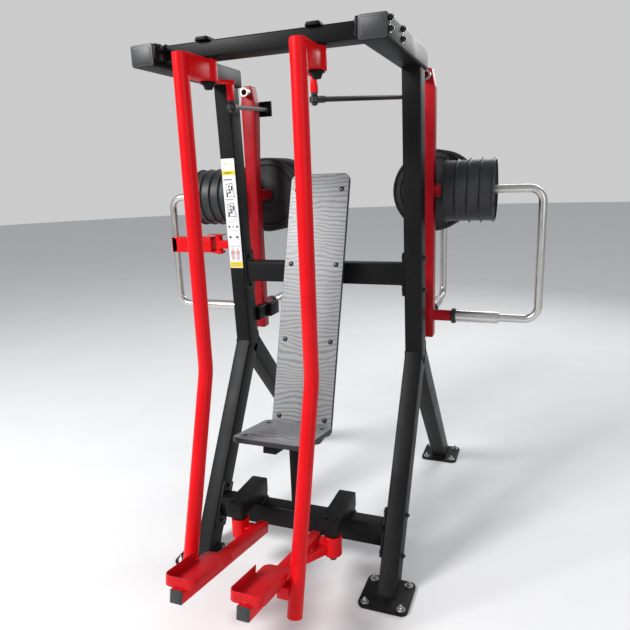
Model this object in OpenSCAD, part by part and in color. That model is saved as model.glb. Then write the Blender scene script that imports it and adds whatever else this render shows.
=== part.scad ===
// Outdoor seated gym machine: two hand and foot gates on upright hinges lift two sets of weight discs.
// Origin: on the ground, under the middle of the whole machine. +X to the sitter's left, +Y to the rear, +Z up.

/* [Frame] */
// Height of the top of the side beams above the ground
frame_h = 2250; // [2050:5:2400]
// Distance between the middles of the two side frames
frame_span = 896; // [820:2:1000]
// Width of the posts and legs across the machine
tube_w = 80; // [60:1:100]
// Depth of the posts and legs from front to back
tube_d = 100; // [60:1:120]
// Wall of the box tubes
tube_wall = 4; // [2:0.5:8]
// Width of the side beams
beam_w = 100; // [80:1:120]
// Height of the side beams
beam_h = 80; // [60:1:100]
// Size of the square foot plates
plate_size = 210; // [160:5:260]
// Thickness of the foot plates
plate_t = 12; // [8:1:20]
// Distance of the anchor bolts from the middle of a foot plate
anchor_pitch = 76; // [50:1:90]

/* [Gates] */
// Distance of the upright hinge axes from the middle of the machine
gate_x = 220; // [180:1:280]
// Diameter of the hinge pins
pin_d = 30; // [20:1:40]
// Gap between a pin and its bore, on the radius
run_gap = 0.05; // [0.02:0.01:0.1]
// Diameter of the hand levers
lever_d = 57; // [40:1:70]
// Wall of the hand levers
lever_wall = 4; // [2:0.5:6]
// Width of the foot arms
arm_w = 50; // [40:1:70]
// Width of the foot trays
tray_w = 130; // [110:1:170]
// Length of the foot trays
tray_l = 300; // [240:5:340]
// Height of the lip round a foot tray
tray_lip = 38; // [20:1:60]

/* [Weights] */
// Distance of the weight arms from the middle of the machine
wa_x = 460; // [430:1:500]
// Outer diameter of the guide loops
loop_d = 38; // [30:1:48]
// Reach of the guide loops from the weight arm
loop_u = 487; // [400:1:560]
// Height of the guide loops between their two ends
loop_h = 610; // [500:5:700]
// Bend radius of the guide loops
loop_r = 62; // [45:1:90]
// Diameter of the small discs
small_d = 280; // [220:5:340]
// Diameter of the large discs
large_d = 386; // [320:2:420]
// Bore of the discs
disc_bore = 45; // [42:0.5:60]

/* [Seat] */
// Width of the backrest board
back_w = 292; // [250:2:360]
// Length of the backrest board
back_l = 1215; // [900:5:1300]
// Lean of the backrest from upright, in degrees
back_tilt = 18.2; // [10:0.1:30]
// Width of the seat board
seat_w = 330; // [280:2:400]
// Length of the seat board
seat_l = 350; // [300:2:420]
// Thickness of both boards
board_t = 20; // [12:1:30]

/* [Part] */
// Sub-part to draw

/* [Hidden] */
$fn = 64;

datum_y = 136;              // shift that puts the origin under the middle of the machine
leg_w = tube_w - 0.6;       // legs, a little narrower than the post they are welded to
xf = frame_span / 2;
beam_z = frame_h - beam_h;
post_lo = [38, 890];        // [y, z] points on the centre lines of the side frame
post_hi = [-18.5, 2200];
leg_f = [-541, -40];
leg_ft = [50, 930];
leg_r = [896, -60];
leg_rt = [51, 900];
foot_fy = -542;
foot_ry = 835;
front_y = -540;             // front crossbeam
mid_y = 19;                 // middle crossbeam
mid_z = 1290;
low_y = -395;               // lower crossbeam
low_z = 205;
top_bolts = [[-620, 2203], [-620, 2236], [-440, 2203], [-440, 2236]];
mid_bolts = [[mid_y, mid_z - 75], [mid_y, mid_z + 75]];
low_bolts = [[low_y - 44, low_z - 72], [low_y + 44, low_z + 72]];
gate_y = -570;
hub_lo = [177, 267];        // lower hub, bottom and top
hub_hi = [2106, 2184];      // upper hub, bottom and top
lever_x = 224;
lever_y = -745;
bend_z = 1013;
lever_a = 17.4;
bend_r = 200;
foot_x = 130;
foot_a = 11.7;
crank = [175, -482];
eye_z = 2022;
rod_end = [425, 366, 2100];
wa_y = 250;
wa_w = 75;
wa_d = 60;
wa_z = [935, 2205];
hub_z = 1045;
horn_z = hub_z + loop_h;
collar_side = 58;
collar_rear = 114;
disc_drop = 3.2;
small_t = 52.6;
large_t = 47.4;

module place() translate([0, datum_y, 0]) children();
module left() mirror([1, 0, 0]) children();
module ring(d, w) difference() { circle(d = d); circle(d = d - 2 * w); }
module rounded(w, l, r) {
  square([w - 2 * r, l], center = true);
  square([w, l - 2 * r], center = true);
  for (x = [-1, 1], y = [-1, 1]) translate([x * (w / 2 - r), y * (l / 2 - r)]) circle(r = r);
}
// Closed box tube, hollow inside
module box_tube(s, w = tube_wall) difference() {
  cube(s, center = true);
  cube([s[0] - 2 * w, s[1] - 2 * w, s[2] - 2 * w], center = true);
}
// Bar in the YZ plane from point a to point b, shortened by e at both ends
module bar(a, b, w, d, e = 0) {
  l = norm(b - a);
  translate([0, a[0], a[1]]) rotate([atan2(b[1] - a[1], b[0] - a[0]), 0, 0])
    translate([-w / 2, e, -d / 2]) cube([w, l - 2 * e, d]);
}
// Bolt through a member along X, with a hex head or nut at both ends
module cross_bolt(p, x1, x2, d = 12) translate([0, p[0], p[1]]) rotate([0, 90, 0]) {
  translate([0, 0, x1 - 8]) cylinder(d = d, h = x2 - x1 + 16);
  for (x = [x1 - 8, x2]) translate([0, 0, x]) cylinder(d = 22, h = 8, $fn = 6);
  for (x = [x1 - 2, x2]) translate([0, 0, x]) cylinder(d = 28, h = 2);
}
module bolt_hole(p, x1, x2, d = 12.6)
  translate([x1, p[0], p[1]]) rotate([0, 90, 0]) cylinder(d = d, h = x2 - x1);

module side_frame() color("#1d1e20") difference() {
  union() {
    translate([xf, 0, 0]) difference() {
      union() {
        bar(post_lo, post_hi, tube_w, tube_d);
        bar(leg_f, leg_ft, leg_w, tube_d);
        bar(leg_r, leg_rt, leg_w, tube_d);
      }
      bar(post_lo, post_hi, tube_w - 2 * tube_wall, tube_d - 2 * tube_wall, 90);
      bar(leg_f, leg_ft, leg_w - 2 * tube_wall, tube_d - 2 * tube_wall, 140);
      bar(leg_r, leg_rt, leg_w - 2 * tube_wall, tube_d - 2 * tube_wall, 160);
      translate([-100, -900, -200]) cube([200, 2000, 200 + plate_t / 2]);
      translate([-100, -300, beam_z]) cube([200, 600, 200]);
    }
    for (y = [foot_fy, foot_ry]) translate([xf, y, 0])
      linear_extrude(plate_t) rounded(plate_size, plate_size, 30);
  }
  for (y = [foot_fy, foot_ry], i = [-1, 1], j = [-1, 1])
    translate([xf + i * anchor_pitch, y + j * anchor_pitch, -1]) cylinder(d = 14, h = plate_t + 2);
  for (p = concat(mid_bolts, low_bolts)) bolt_hole(p, xf - 60, xf + 60);
}
module side_beam() color("#1d1e20") difference() {
  translate([xf, (45 - 649) / 2, frame_h - beam_h / 2]) box_tube([beam_w, 694, beam_h]);
  for (p = top_bolts) bolt_hole(p, xf - 70, xf + 70);
}
module beam_caps() color("#2a2b2d") for (s = [-1, 1], y = [-655, 45])
  translate([s * xf, y + 6, frame_h - beam_h / 2]) rotate([90, 0, 0])
    linear_extrude(6) rounded(beam_w - 2, beam_h - 2, 8);

// Crossbeam between the side frames with a bolting flange at both ends
module crossbeam(y, z, d, h, reach, fd, fh, bolts, tilt = 0) difference() {
  union() {
    translate([0, y, z]) box_tube([2 * reach - 16, d, h]);
    for (s = [-1, 1]) translate([s * (reach - 5), y, z]) rotate([tilt, 0, 0])
      cube([10, fd, fh], center = true);
  }
  for (p = bolts) bolt_hole(p, -reach - 1, reach + 1);
}
module front_crossbeam() color("#1d1e20")
  crossbeam(front_y, 2220, 100, 60, xf - beam_w / 2, 225, 58, top_bolts);
module mid_crossbeam() color("#1d1e20")
  crossbeam(mid_y, mid_z, 80, 100, xf - tube_w / 2, 90, 200, mid_bolts);
module lower_crossbeam() color("#1d1e20")
  crossbeam(low_y, low_z, 80, 100, xf - leg_w / 2, 90, 210, low_bolts, -31.4);

module frame_bolts() color("#232427") for (s = [-1, 1]) scale([s, 1, 1]) {
  for (p = top_bolts) cross_bolt(p, xf - beam_w / 2 - 10, xf + beam_w / 2);
  for (p = concat(mid_bolts, low_bolts)) cross_bolt(p, xf - tube_w / 2 - 10, xf + tube_w / 2);
}
module floor_anchors() color("#a9aaa8")
  for (s = [-1, 1], y = [foot_fy, foot_ry], i = [-1, 1], j = [-1, 1])
    translate([s * xf + i * anchor_pitch, y + j * anchor_pitch, 0]) {
      translate([0, 0, 1]) cylinder(d = 12, h = 32);
      translate([0, 0, plate_t]) cylinder(d = 36, h = 3);
      translate([0, 0, plate_t + 3]) cylinder(d = 22, h = 10, $fn = 6);
    }

// Hanging pin with washer and tapered nut; lo and hi are the ends of the hub it carries
module hanging_pin(lo, hi, top = 4) {
  translate([0, 0, lo - 20]) cylinder(d = pin_d, h = hi - lo + 20 + top);
  translate([0, 0, lo - 7]) cylinder(d = 60, h = 6.4);
  translate([0, 0, lo - 27]) cylinder(d1 = 30, d2 = 46, h = 20);
  translate([0, 0, hi + 0.6]) cylinder(d = 64, h = top - 0.6);
}
module upper_pivot() color("#1d1e20") translate([gate_x, gate_y, 0]) {
  hanging_pin(hub_hi[0], hub_hi[1]);
  translate([0, 15, hub_hi[1] + 4]) linear_extrude(2) rounded(90, 60, 8);
  translate([0, -2, frame_h]) linear_extrude(12) rounded(52, 64, 10);
}
module lower_pivot() color("#1d1e20") translate([gate_x, gate_y, 0]) {
  hanging_pin(hub_lo[0], hub_lo[1], 21);
  difference() {
    translate([-40, -50, hub_lo[1] + 21]) cube([80, low_y + 40 - gate_y + 50, 65]);
    translate([-34, -44, hub_lo[1] + 27]) cube([68, low_y + 40 - gate_y + 38, 53]);
  }
  translate([-36, low_y - 39 - gate_y, low_z + 50]) cube([72, 78, hub_lo[1] + 25 - low_z - 50]);
  for (x = [-22, 22]) translate([x, -20, hub_lo[1] + 86]) cylinder(d = 22, h = 7, $fn = 6);
}
module arm_bearing() color("#1d1e20") {
  translate([xf - tube_w / 2 + 8, 133.6, hub_z]) box_tube([48, 100.8, 70], 6);
  translate([391, 230, hub_z]) box_tube([42, 100, 70], 6);
  translate([380, wa_y, hub_z]) rotate([0, 90, 0]) cylinder(d = pin_d, h = 122);
}

// Frame of the backrest: x across, y from its front face back, z up along it
module back_frame() translate([0, -357.5, 600]) rotate([-back_tilt, 0, 0]) children();
module seat_place() translate([0, -352, 655]) rotate([-10, 0, 0]) children();
module seat_frame() color("#1d1e20") {
  translate([0, low_y, (low_z + 50 + 600) / 2]) box_tube([60, 60, 600 - low_z - 50], 3);
  translate([0, (low_y + 28 - 290) / 2, 568]) box_tube([60, -290 - low_y - 28, 50], 3);
  back_frame() {
    translate([0, board_t + 26, 575]) box_tube([60, 40, 1150], 3);
    for (s = [75, 430, 785, 1140]) translate([-132, board_t, s - 22]) cube([264, 6, 44]);
  }
  translate([0, (-21 - 74) / 2, mid_z - 15]) box_tube([60, 53, 60], 3);
  seat_place() {
    translate([0, -seat_l / 2, -board_t - 21]) box_tube([60, seat_l - 60, 30], 3);
    for (y = [-60, -290]) translate([-150, y - 22, -board_t - 6]) cube([300, 44, 6]);
  }
}
module backrest_board() color("#8f9193") back_frame()
  translate([0, board_t, back_l / 2]) rotate([90, 0, 0])
    linear_extrude(board_t) rounded(back_w, back_l, 32);
module seat_board() color("#8f9193") seat_place()
  translate([0, -seat_l / 2, -board_t]) linear_extrude(board_t) rounded(seat_w, seat_l, 36);
module board_bolts() color("#55585a") {
  back_frame() for (s = [75, 430, 785, 1140], x = [-112, 112])
    translate([x, 0, s]) rotate([90, 0, 0]) dome();
  seat_place() for (y = [-60, -290], x = [-128, 128]) translate([x, y, 0]) dome();
}
module dome() intersection() {
  translate([0, 0, -10]) sphere(d = 27);
  cylinder(d = 30, h = 10);
}
module sign_plate() color("#e9eaea") translate([-xf, post_lo[0], post_lo[1]])
  rotate([atan2(post_hi[1] - post_lo[1], post_hi[0] - post_lo[0]), 0, 0])
    translate([-36, 420, tube_d / 2]) cube([72, 535, 1.5]);

module lever() color("#c8101a") {
  drop = bend_r * tan(lever_a / 2);
  low = norm([1013 - 200, 255]) - drop;
  translate([lever_x, lever_y, bend_z + drop - 3])
    linear_extrude(2184 - bend_z - drop + 3) ring(lever_d, lever_wall);
  translate([lever_x, lever_y, 2180]) cylinder(d = lever_d - 2, h = 4);
  translate([lever_x, lever_y - bend_r, bend_z + drop]) rotate([-90, 0, 90])
    rotate_extrude(angle = lever_a) translate([bend_r, 0]) ring(lever_d + 0.3, lever_wall + 0.3);
  translate([lever_x, lever_y, bend_z]) rotate([180 - lever_a, 0, 0]) {
    translate([0, 0, drop - 3]) linear_extrude(low + 3) ring(lever_d, lever_wall);
    translate([0, 0, drop + low - 4]) cylinder(d = lever_d - 2, h = 4);
  }
  difference() {
    translate([foot_x + arm_w / 2 + 0.2, -1000, 262]) cube([lever_x - foot_x - arm_w / 2, 70, 50]);
    translate([lever_x, lever_y, bend_z]) rotate([180 - lever_a, 0, 0])
      translate([0, 0, drop]) cylinder(d = lever_d - 2, h = low);
    translate([foot_x, -900, 200]) cube([200, 100, 300]);
  }
}
module upper_bracket() color("#c8101a") difference() {
  union() {
    translate([gate_x, (lever_y + gate_y) / 2, 2145]) box_tube([60, gate_y - lever_y, 78], 4);
    translate([gate_x, gate_y, hub_hi[0]]) cylinder(d = 76, h = 78);
    translate([gate_x, gate_y, hub_hi[0]]) rotate([0, 0, atan2(crank[1] - gate_y, crank[0] - gate_x)])
      translate([0, -22, 0]) cube([norm(crank - [gate_x, gate_y]) + 14, 44, 12]);
    translate([crank[0], crank[1], 2046]) translate([-12, -12, 0]) cube([24, 24, 60]);
  }
  translate([lever_x, lever_y, 2000]) cylinder(d = lever_d + 0.4, h = 300);
  translate([gate_x, gate_y, 2000]) cylinder(r = pin_d / 2 + run_gap, h = 300);
}
module crank_pin() color("#232427") translate([crank[0], crank[1], 0]) {
  translate([0, 0, 2000]) cylinder(d = 14, h = 46);
  translate([0, 0, 2004]) cylinder(d = 26, h = 7.6);
  translate([0, 0, 2034]) cylinder(d = 24, h = 12);
}
// Foot arm frame: x across, y forward along the arm, z square to it
module foot_place() translate([foot_x, -545, 212]) rotate([-foot_a, 0, 0]) mirror([0, 1, 0]) children();
module foot_arm() color("#c8101a") difference() {
  union() {
    foot_place() translate([0, 322, 0]) box_tube([arm_w, 684, arm_w]);
    translate([(foot_x + gate_x) / 2, gate_y, 208]) cube([gate_x - foot_x, 50, 46], center = true);
    translate([gate_x, gate_y, hub_lo[0]]) cylinder(d = 78, h = hub_lo[1] - hub_lo[0]);
    translate([gate_x, gate_y, hub_lo[0] + 10]) rotate([0, 0, -124]) translate([0, -6, 0]) cube([140, 12, 40]);
  }
  translate([gate_x, gate_y, 100]) cylinder(r = pin_d / 2 + run_gap, h = 200);
}
module foot_tray() color("#c8101a") foot_place() translate([-0.7, 508, arm_w / 2 + 0.2]) {
  linear_extrude(4) rounded(tray_w, tray_l, 30);
  difference() {
    linear_extrude(tray_lip) difference() {
      rounded(tray_w, tray_l, 30);
      rounded(tray_w - 8, tray_l - 8, 26);
    }
    translate([-100, -tray_l / 2 - 1, 4]) cube([200, 95, 100]);
  }
}
module foot_cap() color("#2a2b2d") foot_place()
  translate([0, 664, 0]) rotate([-90, 0, 0]) linear_extrude(6) rounded(arm_w - 1, arm_w - 1, 4);
module link_bolts() color("#a9aaa8") for (y = [-982, -945])
  translate([foot_x + arm_w / 2 + 1, y, 292]) {
    translate([4, 0, -38]) cylinder(d = 10, h = 8);
    translate([14, 0, -42]) cylinder(d = 18, h = 12, $fn = 6);
  }
module pull_rod() color("#232427") {
  e = [crank[0], crank[1], eye_z];
  v = rod_end - e;
  l = norm(v);
  difference() {
    union() {
      translate(e - [0, 0, 10]) cylinder(d = 38, h = 20);
      translate(e) rotate([0, 0, atan2(v[1], v[0])]) rotate([0, 90 - asin(v[2] / l), 0]) {
        translate([0, 0, 10]) cylinder(d = 20, h = l + 14);
        translate([0, 0, 16]) cylinder(d = 26, h = 44);
        translate([0, 0, l]) cylinder(d = 56, h = 5);
        translate([0, 0, l + 5]) cylinder(d = 34, h = 12, $fn = 6);
      }
    }
    translate(e - [0, 0, 20]) cylinder(r = 7 + run_gap, h = 40);
  }
}

module arm_outline(e) polygon([[-24 + e, wa_z[0] + e], [wa_w / 2 - e, wa_z[0] + e],
  [wa_w / 2 - e, wa_z[1] - 80], [22 - e, wa_z[1] - e], [-22 + e, wa_z[1] - e],
  [-wa_w / 2 + e, wa_z[1] - 80], [-wa_w / 2 + e, 2030], [-24 + e, 1760]]);
module weight_arm() color("#8e1219") translate([wa_x, wa_y, 0]) difference() {
  union() {
    difference() {
      rotate([90, 0, 0]) translate([0, 0, -wa_d / 2]) linear_extrude(wa_d) arm_outline(0);
      rotate([90, 0, 0]) translate([0, 0, -wa_d / 2 + 5]) linear_extrude(wa_d - 10) arm_outline(5);
    }
    translate([-45, 0, hub_z]) rotate([0, 90, 0]) cylinder(d = 54, h = 45 + wa_w / 2 + 88);
    translate([wa_w / 2, 0, horn_z]) rotate([0, 90, 0]) cylinder(d = 62, h = collar_side);
    translate([0, wa_d / 2, hub_z]) rotate([-90, 0, 0]) cylinder(d = 54, h = 88);
    translate([0, wa_d / 2, horn_z]) rotate([-90, 0, 0]) cylinder(d = 62, h = collar_rear);
    translate([-15, wa_d / 2, 2062]) cube([12, 72, 76]);
    translate([-75, wa_d / 2 + 60, 2062]) cube([72, 12, 76]);
  }
  translate([-46, 0, hub_z]) rotate([0, 90, 0]) cylinder(r = pin_d / 2 + run_gap, h = 92);
  translate([-40.8, wa_d / 2 + 50, 2100]) rotate([-90, 0, 0]) cylinder(d = 48, h = 30);
}
module stop_tube() color("#b9bbbc") translate([wa_x, wa_y - wa_d / 2, 2172]) rotate([90, 0, 0])
  linear_extrude(34) ring(46, 9);

// Guide loop: x out from the weight arm, z up, upper end on the x axis; c is the upper collar
module loop(c) color("#b9bbbc") {
  translate([c, 0, 0]) rotate([0, 90, 0]) linear_extrude(loop_u - loop_r - c) ring(loop_d, 3);
  translate([c, 0, 0]) rotate([0, 90, 0]) cylinder(d = loop_d, h = 3);
  translate([loop_u - loop_r, 0, -loop_r]) rotate([90, 0, 0])
    rotate_extrude(angle = 90) translate([loop_r, 0]) ring(loop_d, 3);
  translate([loop_u, 0, loop_r - loop_h]) linear_extrude(loop_h - 2 * loop_r) ring(loop_d, 3);
  translate([loop_u - loop_r, 0, loop_r - loop_h]) rotate([90, 0, 0]) rotate([0, 0, -90])
    rotate_extrude(angle = 90) translate([loop_r, 0]) ring(loop_d, 3);
  translate([306, 0, -loop_h]) rotate([0, 90, 0]) linear_extrude(loop_u - loop_r - 306) ring(loop_d, 3);
  translate([108, 0, -loop_h]) rotate([0, 90, 0]) linear_extrude(202) ring(56, 10);
  for (x = [108, 306]) translate([x, 0, -loop_h]) rotate([0, 90, 0]) cylinder(d = 56, h = 4);
}
module side_place() translate([wa_x + wa_w / 2, wa_y, horn_z]) children();
module rear_place() translate([wa_x, wa_y + wa_d / 2, horn_z]) rotate([0, 0, 90]) children();
module loop_rings() color("#161718") {
  side_place() translate([88.2, 0, -loop_h]) rotate([0, 90, 0]) cylinder(d = 74, h = 19.4);
  rear_place() translate([88.2, 0, -loop_h]) rotate([0, 90, 0]) cylinder(d = 74, h = 19.4);
}
module loop_brace() color("#c8101a") translate([wa_x + wa_w / 2, wa_y, 1392]) difference() {
  union() {
    translate([0.2, -20, -22]) cube([212, 40, 44]);
    translate([205, 0, -52]) cylinder(d = 40, h = 104);
    translate([168, -24, 52]) cube([98, 48, 4]);
    translate([180, -24, -48]) cube([60, 48, 12]);
    translate([240, -34, -42]) cube([254, 68, 84]);
    translate([loop_u, 0, -62]) cylinder(d = 66, h = 20);
  }
  translate([300, -26, -34]) cube([140, 80, 68]);
  translate([loop_u, 0, -100]) cylinder(d = loop_d + 0.4, h = 200);
  translate([loop_u + loop_d / 2, -50, -100]) cube([60, 100, 200]);
}
// Weight disc with a raised hub and rim, its axis along x
module disc(d, t) rotate([0, 90, 0]) rotate_extrude($fn = 96) polygon([[disc_bore / 2, 0],
  [disc_bore / 2 + 34, 0], [disc_bore / 2 + 40, 7], [d / 2 - 34, 7], [d / 2 - 28, 0], [d / 2 - 5, 0],
  [d / 2, 5], [d / 2, t - 5], [d / 2 - 5, t], [d / 2 - 28, t], [d / 2 - 34, t - 7],
  [disc_bore / 2 + 40, t - 7], [disc_bore / 2 + 34, t], [disc_bore / 2, t]]);
module side_discs() color("#26282a") side_place() translate([collar_side + 0.6, 0, -disc_drop])
  for (i = [0:3]) translate([i * (small_t + 0.6), 0, 0]) disc(small_d, small_t);
module rear_discs() color("#26282a") rear_place() translate([collar_rear + 0.6, 0, -disc_drop])
  for (i = [0:4]) translate([i * (large_t + 0.6), 0, 0]) disc(large_d, large_t);

place() left() side_frame();  // side_frame_left
place() side_frame();  // side_frame_right
place() left() side_beam();  // side_beam_left
place() side_beam();  // side_beam_right
place() beam_caps();
place() front_crossbeam();
place() mid_crossbeam();
place() lower_crossbeam();
place() frame_bolts();
place() floor_anchors();
place() left() upper_pivot();  // upper_pivot_left
place() upper_pivot();  // upper_pivot_right
place() left() lower_pivot();  // lower_pivot_left
place() lower_pivot();  // lower_pivot_right
place() left() arm_bearing();  // arm_bearing_left
place() arm_bearing();  // arm_bearing_right
place() seat_frame();
place() backrest_board();
place() seat_board();
place() board_bolts();
place() sign_plate();
place() left() lever();  // lever_left
place() lever();  // lever_right
place() left() upper_bracket();  // upper_bracket_left
place() upper_bracket();  // upper_bracket_right
place() left() crank_pin();  // crank_pin_left
place() crank_pin();  // crank_pin_right
place() left() foot_arm();  // foot_arm_left
place() foot_arm();  // foot_arm_right
place() left() foot_tray();  // foot_tray_left
place() foot_tray();  // foot_tray_right
place() left() foot_cap();  // foot_cap_left
place() foot_cap();  // foot_cap_right
place() left() link_bolts();  // link_bolts_left
place() link_bolts();  // link_bolts_right
place() left() pull_rod();  // pull_rod_left
place() pull_rod();  // pull_rod_right
place() left() weight_arm();  // weight_arm_left
place() weight_arm();  // weight_arm_right
place() left() stop_tube();  // stop_tube_left
place() stop_tube();  // stop_tube_right
place() left() side_place() loop(collar_side);  // side_loop_left
place() side_place() loop(collar_side);  // side_loop_right
place() left() rear_place() loop(collar_rear);  // rear_loop_left
place() rear_place() loop(collar_rear);  // rear_loop_right
place() left() loop_rings();  // loop_rings_left
place() loop_rings();  // loop_rings_right
place() left() loop_brace();  // loop_brace_left
place() left() side_discs();  // side_discs_left
place() side_discs();  // side_discs_right
place() left() rear_discs();  // rear_discs_left
place() rear_discs();  // rear_discs_right
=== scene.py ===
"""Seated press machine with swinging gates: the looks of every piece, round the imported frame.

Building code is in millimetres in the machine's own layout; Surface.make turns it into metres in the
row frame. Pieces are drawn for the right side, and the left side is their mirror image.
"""

import math

import bpy
import numpy as np
from mathutils import Matrix, Vector


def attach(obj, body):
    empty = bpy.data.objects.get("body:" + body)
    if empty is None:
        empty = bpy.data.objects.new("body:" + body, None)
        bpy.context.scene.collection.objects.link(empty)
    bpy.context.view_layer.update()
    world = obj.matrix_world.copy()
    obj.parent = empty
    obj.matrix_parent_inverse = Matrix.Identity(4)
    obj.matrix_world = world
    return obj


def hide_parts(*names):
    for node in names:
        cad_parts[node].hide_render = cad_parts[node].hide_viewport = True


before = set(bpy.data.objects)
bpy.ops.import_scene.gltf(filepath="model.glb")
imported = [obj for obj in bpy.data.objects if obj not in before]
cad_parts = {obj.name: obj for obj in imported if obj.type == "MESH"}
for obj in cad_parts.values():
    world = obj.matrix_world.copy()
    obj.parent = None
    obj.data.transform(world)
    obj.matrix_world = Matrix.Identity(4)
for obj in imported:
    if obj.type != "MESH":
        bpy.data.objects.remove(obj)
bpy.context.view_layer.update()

MM = 0.001
DATUM_Y = 136.0  # the layout's y = 0 lies this far behind the row frame's origin
SHARP = math.radians(38)

# ---------------------------------------------------------------- layout, as in the CAD
FRAME_X = 448.0
POST = ((38.0, 890.0), (-18.5, 2200.0))
FRONT_LEG = ((-541.0, -40.0), (50.0, 930.0))
REAR_LEG = ((896.0, -60.0), (51.0, 900.0))
FEET_Y = (-542.0, 835.0)
GATE = (220.0, -570.0)
UPPER_HUB, LOWER_HUB = (2106.0, 2184.0), (177.0, 267.0)  # bottom and top of each
LEVER = (224.0, -745.0)
LEVER_BEND_Z, LEVER_BEND_R = 1013.0, 200.0
FOOT_DEG = 11.7
CRANK = (175.0, -482.0)
EYE_Z = 2022.0
ROD_END = (425.0, 366.0, 2100.0)
ARM = (460.0, 250.0)
HUB_Z, HORN_Z = 1045.0, 1655.0
LOOP_REACH, LOOP_H, LOOP_BEND, LOOP_D = 487.0, 610.0, 62.0, 38.0
SIDE_COLLAR, REAR_COLLAR = 58.0, 114.0  # where the discs start along a loop
SMALL_DISC, LARGE_DISC = (280.0, 52.6), (386.0, 47.4)  # diameter, thickness
BACK_AT, BACK_DEG = (0.0, -357.5, 600.0), 18.2
SEAT_AT, SEAT_DEG = (0.0, -352.0, 655.0), 10.0


# ---------------------------------------------------------------- outlines and frames
def unit(v):
    v = np.asarray(v, float)
    return v / np.linalg.norm(v)


def axes_at(origin, z=(0, 0, 1), x=(1, 0, 0)):
    """A frame: origin, and rows x, y, z, where x is the part of x that is square to z. Another x
    is taken where the two are parallel."""
    z = unit(z)
    if abs(np.dot(z, unit(x))) > 0.999:
        x = (0, 1, 0) if abs(z[1]) < 0.9 else (1, 0, 0)
    x = unit(np.asarray(x, float) - z * np.dot(np.asarray(x, float), z))
    return np.asarray(origin, float), np.stack([x, np.cross(z, x), z])


def inside(at, x, y, z):
    """The frame at, moved by x, y, z along its own axes."""
    return at[0] + np.array([x, y, z], float) @ at[1], at[1]


def turned(at, degrees, axis="z"):
    """The frame at, turned about one of its own axes."""
    c, s = math.cos(math.radians(degrees)), math.sin(math.radians(degrees))
    i, j = {"x": (1, 2), "y": (2, 0), "z": (0, 1)}[axis]
    rows = at[1].copy()
    rows[i], rows[j] = c * at[1][i] + s * at[1][j], c * at[1][j] - s * at[1][i]
    return at[0], rows


def circle(d, n=32):
    """n points at radius d / 2, counter-clockwise."""
    a = np.arange(n) * 2 * math.pi / n
    return np.stack([np.cos(a), np.sin(a)], 1) * d / 2


def corners_rounded(corners, r, n=4):
    """A convex outline whose corners are arcs of radius r: the arc's centre is r from both sides."""
    corners = np.asarray(corners, float)
    before, after = np.roll(corners, 1, 0), np.roll(corners, -1, 0)
    out = []
    for p, a, b, k in zip(corners, before, after, np.broadcast_to(r, len(corners))):
        into, away = unit(p - a), unit(b - p)
        turn = math.atan2(into[0] * away[1] - into[1] * away[0], np.dot(into, away))
        centre = p - into * k * math.tan(turn / 2) + np.array([-into[1], into[0]]) * k
        s = math.atan2(into[1], into[0]) - math.pi / 2 + np.linspace(0, turn, n)
        out.append(centre + k * np.stack([np.cos(s), np.sin(s)], 1))
    return np.concatenate(out)


def rect(w, l, r=0.6, n=4):
    """A w by l rectangle about the origin, with corners of radius r."""
    x, y = w / 2, l / 2
    return corners_rounded([(-x, -y), (x, -y), (x, y), (-x, y)], min(r, x - 0.01, y - 0.01), n)


def hexagon(d):
    """A hexagon with corners on a circle of diameter d."""
    return circle(d, 6)


def inset(outline, e):
    """A convex outline moved in by e: each point moves along (n1 + n2) / (1 + n1 . n2)."""
    step = np.roll(outline, -1, 0) - outline
    n2 = np.stack([step[:, 1], -step[:, 0]], 1) / np.linalg.norm(step, axis=1)[:, None]
    n1 = np.roll(n2, 1, 0)
    return outline - e * (n1 + n2) / (1 + (n1 * n2).sum(1))[:, None]


def filleted(points, radius, n=9):
    """A path of straight runs whose corners are arcs: about each corner's centre, from one
    side's tangent point to the next, by even angles."""
    points = [np.asarray(p, float) for p in points]
    out = [points[0]]
    for a, p, b in zip(points, points[1:], points[2:]):
        u, v = unit(p - a), unit(b - p)
        turn = math.acos(np.clip(np.dot(u, v), -1, 1))
        side = unit(v - u * np.dot(u, v))
        start = p - u * radius * math.tan(turn / 2)
        t = np.linspace(0, turn, n)[:, None]
        out.extend(start + radius * (np.sin(t) * u + (1 - np.cos(t)) * side))
    out.append(points[-1])
    return np.array(out)


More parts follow.
